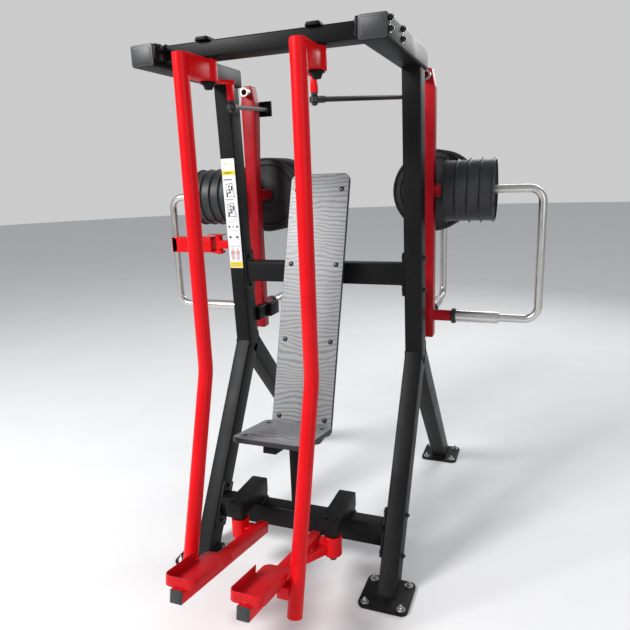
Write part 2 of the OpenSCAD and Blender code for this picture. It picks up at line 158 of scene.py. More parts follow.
# ---------------------------------------------------------------- surfaces
class Surface:
    """Closed surfaces gathered into one mesh. Points are layout millimetres; each also keeps a
    grain vector, which runs along z on a tube however it bends."""

    def __init__(self):
        self.points, self.grain, self.faces, self.marks, self.count = [], [], [], [], 0

    def rings(self, rings, grain=None, mark=0, loop=False):
        """Joins rings of points, shaped (rings, points, 3), into a skin. Each ring runs
        counter-clockwise seen from the ring after it. loop joins the last to the first;
        otherwise both ends are closed by a flat face. mark is a material index, or one for
        each band between rings."""
        rings = np.asarray(rings, float)
        k, m, _ = rings.shape
        grain = rings if grain is None else grain
        bands = k if loop else k - 1
        i, j = np.meshgrid(np.arange(bands), np.arange(m), indexing="ij")
        nxt, side = (i + 1) % k, (j + 1) % m
        quads = np.stack([i * m + j, i * m + side, nxt * m + side, nxt * m + j], -1) + self.count
        self.faces += quads.reshape(-1, 4).tolist()
        self.marks += np.repeat(np.broadcast_to(mark, bands), m).tolist()
        if not loop:
            first, last = np.arange(m) + self.count, np.arange(m) + self.count + (k - 1) * m
            self.faces += [first[::-1].tolist(), last.tolist()]
            ends = np.broadcast_to(mark, bands)
            self.marks += [int(ends[0]), int(ends[-1])]
        self.points.append(rings.reshape(-1, 3))
        self.grain.append(np.asarray(grain, float).reshape(-1, 3))
        self.count += k * m

    def slab(self, at, outline, t, e=1.0, n=3, side_mark=None, mark=0):
        """An outline in the frame's xy plane carried t along its z, with quarter-round edges of
        radius e: the outline is moved in by e (1 - sin a) at height e (1 - cos a)."""
        a = np.linspace(0, math.pi / 2, n)
        moves, heights = e * (1 - np.sin(a)), e * (1 - np.cos(a))
        moves = np.concatenate([moves, moves[::-1]])
        heights = np.concatenate([heights, t - heights[::-1]])
        rings = np.stack([np.c_[inset(outline, d), np.full(len(outline), h)]
                          for d, h in zip(moves, heights)])
        marks = np.full(len(moves) - 1, mark)
        if side_mark is not None:
            marks[:] = side_mark
        self.rings(rings @ at[1] + at[0], mark=marks if side_mark is None else marks)
        if side_mark is not None:
            self.marks[-2:] = [mark, mark]

    def lathe(self, at, profile, n=40, mark=0, loop=False, ribs=None):
        """A profile of (height, radius) pairs turned about the frame's z. ribs = (count, depth
        for each profile point) adds depth cos(count a) to the radius at angle a."""
        profile = np.asarray(profile, float)
        a = np.arange(n) * 2 * math.pi / n
        r = profile[:, 1][:, None] + np.zeros(n)
        if ribs:
            r = r + np.asarray(ribs[1])[:, None] * np.cos(ribs[0] * a)
        h = profile[:, 0][:, None] + np.zeros(n)
        local = np.stack([r * np.cos(a), r * np.sin(a), h], -1)
        self.rings(local @ at[1] + at[0], mark=mark, loop=loop)

    def sweep(self, path, outline, flat, e=0.0, mark=0, cut=(None, None), closed=False, swell=None):
        """An outline carried along a path that lies in the plane square to flat: its x is flat
        and its y is the tangent crossed with flat. e chamfers both ends. cut gives heights z at
        which the first and last rings are sheared along the path. swell scales each ring."""
        path = np.asarray(path, float)
        if closed:
            tangent = np.roll(path, -1, 0) - np.roll(path, 1, 0)
        else:
            tangent = np.gradient(path, axis=0)
            tangent[0], tangent[-1] = path[1] - path[0], path[-1] - path[-2]
        tangent /= np.linalg.norm(tangent, axis=1)[:, None]
        flat = unit(flat)
        y = np.cross(tangent, flat)
        scale = np.ones(len(path)) if swell is None else swell
        shapes = np.broadcast_to(outline, (len(path), *outline.shape)) * scale[:, None, None]
        along = np.r_[0, np.cumsum(np.linalg.norm(np.diff(path, axis=0), axis=1))]
        if e and not closed:
            path = np.concatenate([path[:1], path[:1] + tangent[:1] * e, path[1:-1],
                                   path[-1:] - tangent[-1:] * e, path[-1:]])
            tip = inset(outline, e)[None]
            shapes = np.concatenate([tip, shapes, tip])
            y = np.concatenate([y[:1], y, y[-1:]])
            along = np.concatenate([along[:1], along[:1] + e, along[1:-1], along[-1:] - e, along[-1:]])
        rings = path[:, None] + shapes[..., :1] * flat + shapes[..., 1:] * y[:, None]
        for end, level in zip((0, -1), cut):
            if level is not None:
                d = tangent[end]
                rings[end] += ((level - rings[end][:, 2]) / d[2])[:, None] * d
        grain = np.concatenate([shapes, np.broadcast_to(along[:, None, None], (*shapes.shape[:2], 1))], -1)
        self.rings(rings, grain=grain + path[0] * 0.37, mark=mark, loop=closed)

    def bead(self, path, flat, r=3.4, closed=True):
        """A weld bead: a small tube along the path, whose radius ripples every 5 mm."""
        path = np.asarray(path, float)
        if closed:
            path = np.concatenate([path, path[:1]])
        run = np.r_[0, np.cumsum(np.linalg.norm(np.diff(path, axis=0), axis=1))]
        count = max(8, int(run[-1] / 1.7))
        s = np.linspace(0, run[-1], count, endpoint=not closed)
        fine = np.stack([np.interp(s, run, path[:, k]) for k in range(3)], 1)
        swell = 1 + 0.13 * np.abs(np.sin(s * math.pi / 5.0))
        self.sweep(fine, circle(2 * r, 8), flat, closed=closed, swell=swell)

    def hex_bolt(self, at, d=22.0, h=8.0, washer=0.0, stud=0.0):
        """A hex head with a chamfered top on the frame's xy plane, its washer below it and the
        end of a stud above it."""
        top = inset(hexagon(d), 0.08 * d)
        rings = [np.c_[hexagon(d), np.full(6, 0.0)], np.c_[hexagon(d), np.full(6, h - 1.6)],
                 np.c_[top, np.full(6, h)]]
        self.rings(np.stack(rings) @ at[1] + inside(at, 0, 0, washer)[0])
        if washer:
            r = d * 0.68
            self.lathe(at, [(0, r - 0.5), (0.5, r), (washer - 0.5, r), (washer, r - 0.5)], 28)
        if stud:
            s = d * 0.27
            self.lathe(inside(at, 0, 0, washer + h), [(-1, s), (stud - 1.2, s), (stud, s - 1.2)], 20)

    def dome(self, at, r, h, n=24):
        """A low dome: a sphere's cap of radius r at its foot and height h."""
        big = (r * r + h * h) / (2 * h)
        a = np.linspace(math.asin(min(r / big, 1)), 0.06, 6)
        profile = [(-0.5, r)] + [(h - big + big * math.cos(k), big * math.sin(k)) for k in a]
        self.lathe(at, profile, n)

    def make(self, name, mirrored=False):
        """The mesh object, in metres in the row frame, with its grain as a vector attribute."""
        co = (np.concatenate(self.points) + [0, DATUM_Y, 0]) * MM
        grain = np.concatenate(self.grain) * MM
        faces = self.faces
        if mirrored:
            co[:, 0] *= -1
            faces = [f[::-1] for f in faces]
        mesh = bpy.data.meshes.new(name)
        mesh.from_pydata(co, [], faces)
        mesh.update()
        mesh.polygons.foreach_set("use_smooth", np.ones(len(faces), bool))
        mesh.polygons.foreach_set("material_index", np.array(self.marks, np.int32))
        mesh.set_sharp_from_angle(angle=SHARP)
        mesh.attributes.new("grain", "FLOAT_VECTOR", "POINT").data.foreach_set("vector", grain.ravel())
        obj = bpy.data.objects.new(name, mesh)
        bpy.context.scene.collection.objects.link(obj)
        return obj


# ---------------------------------------------------------------- the frame's pieces
def side_tube(s, run, w, d, r=7.0, cut=(None, None)):
    """A rectangular tube in the side frame's plane, w across and d deep, along run."""
    s.sweep([(FRAME_X, *run[0]), (FRAME_X, *run[1])], rect(w, d, r), (1, 0, 0), cut=cut)


def side_section(run, w, d, z, r=7.0):
    """The outline of such a tube where the height is z."""
    a, t = np.array((0, *run[0])), unit(np.array((0, *run[1])) - np.array((0, *run[0])))
    o = rect(w, d, r)
    ring = a + o[:, :1] * np.array([1, 0, 0]) + o[:, 1:] * np.cross(t, [1, 0, 0]) + [FRAME_X, 0, 0]
    return ring + ((z - ring[:, 2]) / t[2])[:, None] * t


def side_frame():
    s = Surface()
    side_tube(s, POST, 80, 100)
    side_tube(s, FRONT_LEG, 79.4, 100, cut=(8, None))
    side_tube(s, REAR_LEG, 79.4, 100, cut=(8, None))
    for y, leg in zip(FEET_Y, (FRONT_LEG, REAR_LEG)):
        s.slab(axes_at((FRAME_X, y, 0)), rect(210, 210, 30, 8), 12, 1.6)
        s.bead(side_section(leg, 79.4, 100, 13.0), (0, 0, 1), 4.2)
    t = unit(np.array(POST[1]) - np.array(POST[0]))
    n = np.array([t[1], -t[0]])
    a, b = np.array(POST[0]) + n * 44, np.array(POST[0]) - n * 44
    for x in (FRAME_X - 40.2, FRAME_X + 40.2):
        s.bead([(x, *a), (x, *b)], (1, 0, 0), 3.0, closed=False)
        for side, up in ((n, 62), (-n, 38)):
            foot = np.array(POST[0]) + side * 50
            face = x - math.copysign(2, x - FRAME_X)
            s.bead([(face, *foot), (face, *(foot + t * up))], (1, 0, 0), 3.0, closed=False)
    return s


def side_beam():
    s = Surface()
    s.slab(axes_at((FRAME_X, -649, 2210), (0, 1, 0)), rect(100, 80, 8), 694, 0.8)
    return s


def beam_caps():
    """Ribbed plug ends, domed by 1 mm over their middle."""
    s = Surface()
    for x in (-FRAME_X, FRAME_X):
        for y, out in ((-649, -1), (45, 1)):
            at = axes_at((x, y, 2210), (0, out, 0))
            s.slab(at, rect(98, 78, 8), 5.0, 1.6)
            s.slab(inside(at, 0, 0, 4), rect(80, 60, 8), 2.0, 0.9)
            s.slab(inside(at, 0, 0, -6), rect(91, 71, 5), 7.0, 0.5)
    return s


def crossbeam(y, z, d, h, reach, flange_d, flange_h, tilt=0.0):
    """A tube between the side frames, with a welded bolting flange at both ends."""
    s = Surface()
    s.slab(axes_at((-reach + 8, y, z), (1, 0, 0), (0, 1, 0)), rect(d, h, 7), 2 * reach - 16, 0.5)
    for side in (-1, 1):
        at = axes_at((side * (reach - 10), y, z), (side, 0, 0), (0, 1, 0))
        at = turned(at, side * tilt)
        s.slab(at, rect(flange_d, flange_h, 9), 10, 1.3)
        weld = rect(d + 3, h + 3, 8)
        path = np.c_[np.full(len(weld), side * (reach - 11.5)), y + weld[:, 0], z + weld[:, 1]]
        if not tilt and h + 6 < flange_h + 12 and d < flange_d:
            s.bead(path, (1, 0, 0), 3.2)
    return s


def bolt_pair(s, y, z, x1, x2):
    """A hex head and a nut, with washers, on both sides of a member along x."""
    for side in (-1, 1):
        for x, out in ((x1, -side), (x2, side)):
            at = turned(axes_at((side * x, y, z), (out, 0, 0), (0, 1, 0)), (7 * y + 13 * z + x) % 60)
            s.hex_bolt(at, 22, 8, 2, stud=5 if x == x2 else 0)


def frame_bolts():
    s = Surface()
    for y in (-620, -440):
        for z in (2203, 2236):
            bolt_pair(s, y, z, 388, 498)
    for y, z in ((19, 1215), (19, 1365), (-439, 133), (-351, 277)):
        bolt_pair(s, y, z, 398, 488)
    return s


def floor_anchors():
    s = Surface()
    for side in (-1, 1):
        for y in FEET_Y:
            for i in (-1, 1):
                for j in (-1, 1):
                    at = axes_at((side * FRAME_X + 76 * i, y + 76 * j, 12))
                    s.lathe(at, [(0, 17.4), (0.6, 18), (2.2, 18), (3, 17.2)], 40)
                    s.hex_bolt(turned(inside(at, 0, 0, 3), 17 * i + 29 * j + side * 8), 22, 10, 0, stud=8)
    return s


def hanging_pin(s, low, high, top=4.0):
    """The pin, washers and tapered nut under a hub that runs from low to high; a spacer of
    height top sits over the hub."""
    at = axes_at((*GATE, 0))
    s.lathe(at, [(low - 6.8, 13), (low - 6.8, 15), (high + top - 0.1, 15), (high + top - 0.1, 13)], 32)
    s.lathe(at, [(low - 7, 29), (low - 6.2, 30), (low - 1.4, 30), (low - 0.6, 29)], 48)
    s.lathe(at, [(low - 27, 11), (low - 27, 13.5), (low - 25.5, 15), (low - 9.5, 22), (low - 8, 22.8),
                 (low - 7, 22.8)], 40)
    s.lathe(at, [(high + 0.6, 31.3), (high + 1.1, 32), (high + top - 0.5, 32), (high + top, 31.3)], 48)


def upper_pivot():
    s = Surface()
    hanging_pin(s, *UPPER_HUB)
    s.slab(axes_at((GATE[0], GATE[1] + 15, 2188)), rect(90, 60, 8), 2, 0.5)
    s.slab(axes_at((GATE[0], GATE[1] - 2, 2250)), rect(52, 64, 10, 6), 12, 2.2)
    s.bead(np.c_[rect(54, 66, 11, 6) + [GATE[0], GATE[1] - 2], np.full(24, 2251.2)], (0, 0, 1), 2.4)
    return s


def lower_pivot():
    s = Surface()
    hanging_pin(s, *LOWER_HUB, 21.2)
    x, y = GATE
    s.slab(axes_at((x, -487.5, 288)), rect(80, 265, 8, 6), 65, 2.4)
    s.slab(axes_at((x, -395, 255)), rect(72, 78, 3), 36, 0.8)
    s.bead(np.c_[rect(76, 82, 5) + [x, -395], np.full(16, 256.0)], (0, 0, 1), 3.4)
    for dx in (-22, 22):
        s.hex_bolt(turned(axes_at((x + dx, y - 20, 353)), dx), 22, 5.4, 1.6)
    return s


def arm_bearing():
    s = Surface()
    s.slab(axes_at((FRAME_X - 32, 83.4, HUB_Z), (0, 1, 0)), rect(48, 70, 6), 100.4, 1.0)
    s.slab(axes_at((391, 180, HUB_Z), (0, 1, 0)), rect(42, 70, 6), 100, 2.0)
    s.lathe(axes_at((381, ARM[1], HUB_Z), (1, 0, 0)), [(0, 13), (1.5, 15), (119.5, 15), (121, 13.5)], 32)
    return s


def back_frame():
    """Frame of the backrest: x across, y up along the board, z out of its front face."""
    a = math.radians(BACK_DEG)
    return axes_at(BACK_AT, (0, -math.cos(a), math.sin(a)))


def seat_frame_axes():
    """Frame of the seat: x across, y to the rear along the board, z out of its top face."""
    a = math.radians(SEAT_DEG)
    return axes_at(SEAT_AT, (0, math.sin(a), math.cos(a)))


def seat_support():
    s = Surface()
    s.slab(axes_at((0, -395, 255)), rect(60, 60, 5), 345, 0.8)
    s.slab(axes_at((0, -367, 568), (0, 1, 0)), rect(60, 50, 5), 77, 0.8)
    s.slab(axes_at((0, -74, 1275), (0, 1, 0)), rect(60, 60, 5), 53, 0.8)
    back = back_frame()
    s.slab(turned(inside(back, 0, 0.5, -46), -90, "x"), rect(60, 40, 5), 1149, 0.8)
    for h in (75, 430, 785, 1140):
        s.slab(inside(back, 0, h, -26), rect(264, 44, 6), 6, 0.8)
    seat = seat_frame_axes()
    s.slab(turned(inside(seat, 0, -30, -41), 90, "x"), rect(60, 30, 5), 290, 0.8)
    for h in (-60, -290):
        s.slab(inside(seat, 0, h, -26), rect(300, 44, 6), 6, 0.8)
    return s


def board(at, w, l, t, r):
    """A compact laminate board: a decor face on both sides of a dark core, which shows at the edge."""
    s = Surface()
    s.slab(at, rect(w, l, r, 10), t, 2.2, n=4, side_mark=1, mark=0)
    return s


def board_bolts():
    s = Surface()
    back, seat = back_frame(), seat_frame_axes()
    for x in (-112, 112):
        for h in (75, 430, 785, 1140):
            s.dome(inside(back, x, h, 0), 12.4, 3.4)
    for x in (-128, 128):
        for h in (-60, -290):
            s.dome(inside(seat, x, h, 0), 12.4, 3.4)
    return s


def sign_face():
    """Frame of the sign: x across as read, y up along the post, z out of the post's front face."""
    t = unit(np.array([0, POST[1][0] - POST[0][0], POST[1][1] - POST[0][1]]))
    z = np.array([0, -t[2], t[1]])
    return axes_at(np.array([-FRAME_X, *POST[0]]) + z * 50, z)


def sign_plate():
    """The plate, with ink bars, two seated figures, four round signs and two body outlines."""
    s = Surface()
    at = inside(sign_face(), 0, 420, 0)
    s.slab(inside(at, 0, 267.5, 0), rect(72, 535, 3), 1.2, 0.3)
    yellow, ink, faint, rose = 1, 2, 3, 4  # material indices; 0 is the plate

    def patch(outline, x, y, mark):
        s.slab(inside(at, x, y, 1.1), outline, 0.25, 0.04, n=2, mark=mark)

    def line(points, w, mark=ink):
        for a, b in zip(points, points[1:]):
            a, b = np.array(a, float), np.array(b, float)
            d = b - a
            patch(rect(np.linalg.norm(d) + w, w, w * 0.45) @ np.array([[d[0], d[1]], [-d[1], d[0]]])
                  / np.linalg.norm(d), *(a + b) / 2, mark)

    patch(rect(71, 20, 0.5), 0, 468, yellow)
    patch(rect(71, 27, 0.5), 0, 17, yellow)
    patch(rect(40, 5, 0.5), -4, 468, ink)
    for y, w, x, h, mark in ((513, 22, -18, 3, faint), (507, 44, 2, 2.4, yellow), (436, 46, -8, 5, ink),
                             (340, 44, -8, 3, ink), (241, 62, 0, 1, faint), (111, 66, 0, 1.6, ink),
                             (229, 30, -10, 1.6, faint), (104, 26, -14, 1.6, faint),
                             (21, 44, 0, 2.0, faint), (13, 56, 0, 2.0, faint)):
        patch(rect(w, h, 0.4), x, y, mark)
    for base in (352, 256):
        line([(-20, base), (-20, base + 62), (14, base + 66), (22, base)], 2.6)
        line([(-4, base + 40), (2, base + 22), (-14, base + 20), (-16, base + 4)], 6.0)
        line([(-3, base + 37), (-13, base + 33)], 4.0)
        line([(10, base + 34), (10, base + 50)], 8.0)
        line([(-22, base + 2), (24, base + 2)], 2.2)
        patch(circle(10, 24), -4, base + 52, ink)
    for x in (-22, 0, 22):
        patch(circle(11, 28), x, 208, ink if x else faint)
        patch(circle(5, 20), x * 0.5, 190, faint)
    for x in (-20, 18):
        patch(rect(13, 11, 4), x, 156, ink)
        patch(rect(16, 1.8, 0.4), x, 145, faint)
    for x in (-14, 14):
        patch(circle(8, 24), x, 96, rose)
        patch(rect(15, 20, 5), x, 79, rose)
        for dx in (-9.2, 9.2):
            patch(rect(3.6, 22, 1.6), x + dx, 76, faint)
        for dx in (-3.8, 3.8):
            patch(rect(5.6, 26, 2.4), x + dx, 55.5, rose)
    return s


# ---------------------------------------------------------------- the gates' pieces
def lever():
    s = Surface()
    low = (LEVER[0], LEVER[1] - 254.8, 200.0)
    path = filleted([(*LEVER, 2184), (*LEVER, LEVER_BEND_Z), low], LEVER_BEND_R, 12)
    s.sweep(path, circle(57, 48), (1, 0, 0), e=1.6)
    s.slab(axes_at((180, -965, 262)), rect(49, 66, 3), 50, 1.2)
    return s


def upper_bracket():
    s = Surface()
    y0, y1 = LEVER[1] + 4, GATE[1]
    s.slab(axes_at((GATE[0], y0, 2145), (0, 1, 0)), rect(60, 78, 6), y1 - y0, 0.6)
    hub = [(0, 15.2), (0, 37), (1, 38), (77, 38), (78, 37), (78, 15.2)]
    s.lathe(axes_at((*GATE, UPPER_HUB[0])), hub, 56, loop=True)
    a = math.atan2(CRANK[1] - GATE[1], CRANK[0] - GATE[0])
    reach = math.hypot(CRANK[1] - GATE[1], CRANK[0] - GATE[0])
    at = axes_at((*GATE, 2106.4), x=(math.cos(a), math.sin(a), 0))
    s.slab(inside(at, (reach + 14 + 30) / 2, 0, 0), rect(reach + 14 - 30, 44, 10), 11.4, 1.2)
    s.slab(axes_at((*CRANK, 2046)), rect(24, 24, 3), 62, 1.0)
    s.bead(np.c_[circle(26, 24) + CRANK, np.full(24, 2106.0)], (0, 0, 1), 2.4)
    for dx in (-30.5, 30.5):
        s.bead([(GATE[0] + dx, y1 - 26, z) for z in (2110, 2180)], (1, 0, 0), 2.6, closed=False)
    for z in (2107.5, 2182.5):
        s.bead([(x, LEVER[1] + 24, z) for x in (194, 246)], (0, 0, 1), 2.4, closed=False)
    return s


def crank_pin():
    s = Surface()
    at = axes_at((*CRANK, 0))
    s.lathe(at, [(2000, 5.6), (2001.4, 7), (2046, 7), (2046, 6)], 28)
    s.hex_bolt(inside(at, 0, 0, 2003.6), 26, 8.2)
    s.lathe(at, [(2034.2, 11.4), (2035, 12), (2044.8, 12), (2045.8, 11)], 32)
    return s


def foot_frame():
    """Frame of the foot arm: x out, y up and square to the arm, z forward along it."""
    a = math.radians(FOOT_DEG)
    return axes_at((130, -545, 212), (0, -math.cos(a), math.sin(a)), (1, 0, 0))


def foot_arm():
    s = Surface()
    along = foot_frame()
    s.slab(inside(along, 0, 0, -20), rect(50, 50, 5), 684, 0.8)
    s.slab(axes_at((130, GATE[1], 208), (1, 0, 0), (0, 1, 0)), rect(50, 46, 4), 66, 0.8)
    hub = [(0, 15.2), (0, 38), (1, 39), (89, 39), (90, 38), (90, 15.2)]
    s.lathe(axes_at((*GATE, LOWER_HUB[0])), hub, 56, loop=True)
    a = math.radians(-124)
    rib = axes_at((*GATE, 187), (0, 0, 1), (math.cos(a), math.sin(a), 0))
    s.slab(inside(rib, 86, 0, 0), rect(108, 12, 1), 40, 1.0)
    top = [inside(rib, d, 0, 0)[0] for d in (40, 138)]
    s.bead([(p[0], p[1], 227.5) for p in top], (0, 0, 1), 2.4, closed=False)
    return s


def foot_cap():
    s = Surface()
    at = inside(foot_frame(), 0, 0, 664)
    s.slab(at, rect(49, 49, 4), 4.6, 1.4)
    s.slab(inside(at, 0, 0, 3.6), rect(37, 37, 4), 2.4, 1.0)
    return s


def foot_tray():
    """A flat plate with a folded lip, 38 mm high, round the toe and both sides, open at the heel."""
    s = Surface()
    along = foot_frame()
    up, forward = along[1][1], along[1][2]
    side = np.array([1.0, 0, 0])
    centre = along[0] - side * 0.7 + forward * 508 + up * 25.2
    flat = (centre, np.stack([side, np.cross(up, side), up]))
    s.slab(flat, rect(130, 300, 30, 10), 4, 1.2)
    outline = rect(126, 296, 28, 12)
    p = centre + outline[:, :1] * side + outline[:, 1:] * forward
    order = np.argsort(np.arctan2(outline[:, 0], outline[:, 1]))  # from the heel on one side round the toe
    ring, path = outline[order], p[order]
    keep = ring[:, 1] > -56
    path = path[keep]
    heel = [centre + side * x * 63 - forward * 56 for x in (-1, 1)]
    path = np.concatenate([[heel[0]], path, [heel[1]]])
    s.sweep(path + up * 19, rect(37.9, 4, 1.6), up, e=0.8)
    s.bead([centre + side * x + forward * -120 - up * 1.0 for x in (-22, 22)], up, 2.2, closed=False)
    return s


def link_bolts():
    s = Surface()
    for y in (-982, -945):
        at = axes_at((156, y, 292))
        s.lathe(inside(at, 4, 0, -38), [(0, 4.4), (0.6, 5), (7.5, 5), (8, 4.6)], 20)
        s.hex_bolt(turned(inside(at, 14, 0, -42), y), 18, 12)
    return s


def pull_rod():
    s = Surface()
    e = np.array([*CRANK, EYE_Z])
    v = np.array(ROD_END) - e
    l = np.linalg.norm(v)
    eye = [(0, 7.2), (0, 17.6), (1.4, 19), (18.6, 19), (20, 17.6), (20, 7.2)]
    s.lathe(axes_at(e - [0, 0, 10]), eye, 40, loop=True)
    at = axes_at(e, v, (0, 0, 1))
    s.lathe(at, [(10, 10), (l + 22.5, 10), (l + 24, 8.6)], 28)
    s.lathe(at, [(16, 10), (17, 13), (59, 13), (60, 12)], 28)
    s.lathe(at, [(l, 27.2), (l + 0.6, 28), (l + 4.4, 28), (l + 5, 27.2)], 44)
    s.hex_bolt(inside(at, 0, 0, l + 5), 34, 12)
    return s


# ---------------------------------------------------------------- the weight arms' pieces
def holed_plate(s, xs, zs, ys, hole, r):
    """A plate square to y with a round hole: each point of its edge and the point of the hole
    lie on one ray from the hole's middle."""
    corners = [math.atan2(z - hole[1], x - hole[0]) for x in xs for z in zs]
    a = np.sort(np.r_[np.arange(48) * math.pi / 24 - math.pi, corners])
    c, d = np.cos(a), np.sin(a)
    far = [np.where(np.abs(v) > 1e-9, (np.where(v > 0, hi, lo) - m) / np.where(np.abs(v) > 1e-9, v, 1), 1e9)
           for v, (lo, hi), m in ((c, xs, hole[0]), (d, zs, hole[1]))]
    outer = np.minimum(*far)
    rings = [np.stack([hole[0] + k * c, np.full(len(a), y), hole[1] + k * d], 1)
             for k, y in ((outer, ys[1]), (outer, ys[0]), (r, ys[0]), (r, ys[1]))]
    s.rings(rings, mark=1, loop=True)


def tall_arm():
    """The upright box arm with its tapered top, sockets for both loops, and the rod's lug."""
    s = Surface()
    x, y = ARM
    corners = [(-24, 935), (37.5, 935), (37.5, 2125), (22, 2205), (-22, 2205), (-37.5, 2125)]
    outline = corners_rounded(corners, [5, 5, 9, 7, 7, 9], 4)
    outline = np.concatenate([outline, [(-37.5, 2030), (-24, 1760)]])
    s.slab(axes_at((x, y + 30, 0), (0, -1, 0)), outline, 60, 4.0, n=4)
    for z, d, l, low in ((HUB_Z, 54, 88, True), (HORN_Z, 62, 58, False)):
        start = -82.5 if low else 0
        s.lathe(axes_at((x + 37.5 + start, y, z), (1, 0, 0)),
                [(0, d / 2 - 1.5), (1.5, d / 2), (l - start - 1.2, d / 2), (l - start, d / 2 - 1.2)], 48)
        s.bead(np.c_[np.full(40, x + 38.0), circle(d + 2, 40) + [y, z]], (1, 0, 0), 3.0)
    for z, d, l in ((HUB_Z, 54, 88), (HORN_Z, 62, 114)):
        s.lathe(axes_at((x, y + 30, z), (0, 1, 0)),
                [(-4, d / 2), (l - 1.2, d / 2), (l, d / 2 - 1.2)], 48)
        ring = circle(d + 2, 40)
        s.bead(np.c_[x + ring[:, 0], np.full(40, y + 30.5), z + ring[:, 1]], (0, 1, 0), 3.0)
    s.slab(axes_at((x - 9, y + 26, 2100), (0, 1, 0)), rect(12, 75.6, 1.2), 75, 0.8, mark=1)
    holed_plate(s, (x - 75, x - 3), (2062, 2138), (340, 352), (x - 40.8, 2100), 24)
    s.bead([(x - 9, y + 31, z) for z in (2064, 2136)], (0, 1, 0), 5.0, closed=False)
    return s


def stop_tube():
    s = Surface()
    s.lathe(axes_at((ARM[0], 220, 2172), (0, -1, 0)),
            [(-2, 14), (-2, 23), (32.8, 23), (34, 21.8), (34, 15.2), (32.8, 14)], 48, loop=True)
    return s


def loop_frame(rear):
    """Frame of a guide loop: x out from the arm, z up, origin where the upper run leaves it."""
    if rear:
        return (np.array([ARM[0], ARM[1] + 30, HORN_Z]), np.array([[0, 1, 0], [-1, 0, 0], [0, 0, 1.0]]))
    return (np.array([ARM[0] + 37.5, ARM[1], HORN_Z]), np.eye(3))


def guide_loop(rear, collar):
    s = Surface()
    at = loop_frame(rear)
    corners = [(collar, 0, 0), (LOOP_REACH, 0, 0), (LOOP_REACH, 0, -LOOP_H), (306, 0, -LOOP_H)]
    path = filleted(corners, LOOP_BEND, 14)
    path = path @ at[1] + at[0]
    s.sweep(path, circle(LOOP_D, 40), at[1][1], e=0.5)
    sleeve = axes_at(inside(at, 108, 0, -LOOP_H)[0], at[1][0], at[1][1])
    s.lathe(sleeve, [(0, 27), (0.8, 28), (190, 28), (193, 27.2), (201.2, 27.2), (202, 26.4)], 48)
    s.lathe(sleeve, [(196, 20), (206, 20.6), (207.5, 19.2)], 40)
    return s


def loop_rings():
    s = Surface()
    for rear in (False, True):
        at = loop_frame(rear)
        ring = axes_at(inside(at, 88.2, 0, -LOOP_H)[0], at[1][0], at[1][1])
        s.lathe(ring, [(0, 34.5), (1, 36.2), (2.6, 37), (16.8, 37), (18.4, 36.2), (19.4, 34.5)], 48)
    return s


def loop_brace():
    """The brace on one side: an arm, an upright pin with plates, and a clamp round the loop."""
    s = Surface()
    o = np.array([ARM[0] + 37.5, ARM[1], 1392.0])

    def block(x0, x1, w, z0, z1, r=3, e=1.2):
        s.slab(axes_at(o + [(x0 + x1) / 2, 0, z0]), rect(x1 - x0, w, r), z1 - z0, e)

    block(0.2, 212, 40, -22, 22, 4)
    s.lathe(axes_at(o + [205, 0, -52]), [(0, 18.5), (1.5, 20), (102.5, 20), (104, 18.5)], 40)
    block(168, 266, 48, 52, 56, 5, 0.8)
    block(180, 240, 48, -48, -36, 5)
    for z0, z1 in ((-42, -34.2), (34.2, 42)):
        block(240, 480, 68, z0, z1, 5)
    block(240, 299, 67.8, -41, 41, 4)
    block(440, 466, 67.8, -41, 41, 4)
    for side in (-1, 1):
        s.slab(axes_at(o + [478, side * 27, -41]), rect(31, 13.6, 2), 82, 1.0)
    s.slab(axes_at(o + [370, -30, -41]), rect(250, 7.6, 1), 82, 0.8)
    return s


def disc(s, at, d, t, groove, bore=22.5):
    """A moulded weight disc: a rounded rim, with a groove round its middle where asked, a sunk
    web, a raised hub, and a steel liner in the bore."""
    r, web = d / 2, 7.0
    face = [(0.0, bore + 1.5), (0.0, bore + 30), (web, bore + 37), (web, r - 33), (0.0, r - 27), (0.0, r)]
    radii = [0.8, 2.5, 3, 3, 2.5, 9]
    middle = [(t / 2 - 4, r), (t / 2 - 1.6, r - 4), (t / 2 + 1.6, r - 4), (t / 2 + 4, r)] if groove else []
    back = [(t - h, radius) for h, radius in face[::-1]]
    profile = corners_rounded(face + middle + back, radii + [1.2] * len(middle) + radii[::-1], 5)
    s.lathe(at, profile, 128, loop=True)
    s.lathe(at, [(1.2, bore), (1.2, bore + 2), (t - 1.2, bore + 2), (t - 1.2, bore)], 48, mark=1, loop=True)


def disc_stack(rear, collar, count, d, t):
    s = Surface()
    at = loop_frame(rear)
    for i in range(count):
        start = inside(at, collar + 0.6 + i * (t + 0.6), 0, -3.2)[0]
        disc(s, axes_at(start, at[1][0], unit(at[1][1] + np.array([0, 0, 0.3 * i]))), d, t, rear)
    return s


# ---------------------------------------------------------------- shader groups
def new_group(name, inputs, outputs):
    """An empty shader group with (name, kind, default) inputs and (name, kind) outputs."""
    group = bpy.data.node_groups.new(name, "ShaderNodeTree")
    for label, kind, value in inputs:
        socket = group.interface.new_socket(label, in_out="INPUT", socket_type=f"NodeSocket{kind}")
        if value is not None:
            socket.default_value = value
    for label, kind in outputs:
        group.interface.new_socket(label, in_out="OUTPUT", socket_type=f"NodeSocket{kind}")
    return group, group.nodes.new("NodeGroupInput").outputs, group.nodes.new("NodeGroupOutput").inputs


def node(tree, kind, values=(), **settings):
    """A node with settings on itself and values or links on its sockets, named or numbered."""
    n = tree.nodes.new(f"ShaderNode{kind}")
    for key, value in settings.items():
        setattr(n, key, value)
    for key, value in dict(values).items():
        if isinstance(value, bpy.types.NodeSocket):
            tree.links.new(value, n.inputs[key])
        else:
            n.inputs[key].default_value = value
    return n


def math_of(tree, operation, a, b=0.0, clamp=False):
    return node(tree, "Math", {0: a, 1: b}, operation=operation, use_clamp=clamp).outputs[0]


